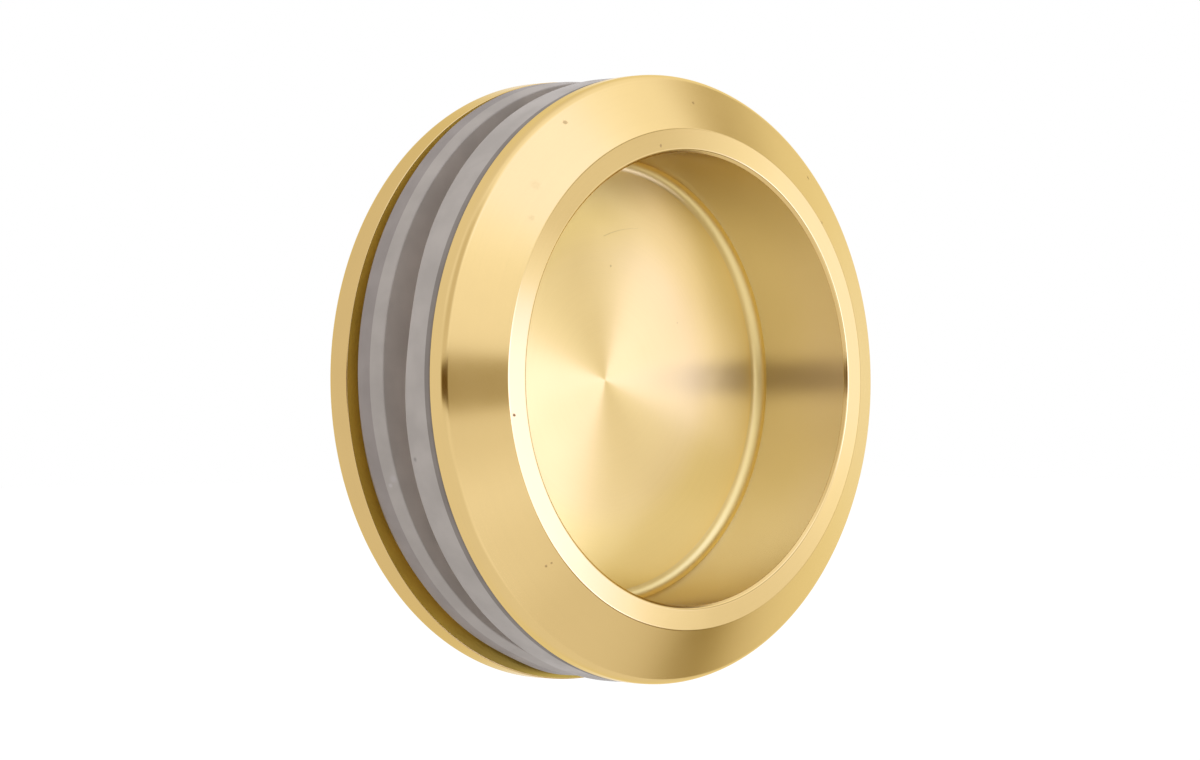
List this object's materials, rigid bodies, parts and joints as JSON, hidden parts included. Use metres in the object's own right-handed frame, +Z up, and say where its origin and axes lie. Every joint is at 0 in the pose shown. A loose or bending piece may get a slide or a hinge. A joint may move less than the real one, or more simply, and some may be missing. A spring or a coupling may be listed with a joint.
{
  "type": "finger pull",
  "caption": "Round double-sided finger pull for a glass sliding door: bevelled brass cups screwed back to back through the glass, on soft grey gaskets.",
  "frame": {"origin": "on the axis of the pull, in the middle of the glass it is fixed in", "axes": "-Y out of the front cup, square to the glass; +Z up; +X to the right seen from the front"},
  "size_m": [0.065, 0.0252, 0.0652],
  "materials": {
    "brass": "turned, bevel and floor satin, rim and edges bright",
    "soft_grey": "smooth, low sheen"
  },
  "bodies": {
    "root": {"front_cup": "brass", "rear_cup": "brass", "front_gasket": "soft_grey", "rear_gasket": "soft_grey", "centre_sleeve": "soft_grey"}
  },
  "joints": []
}
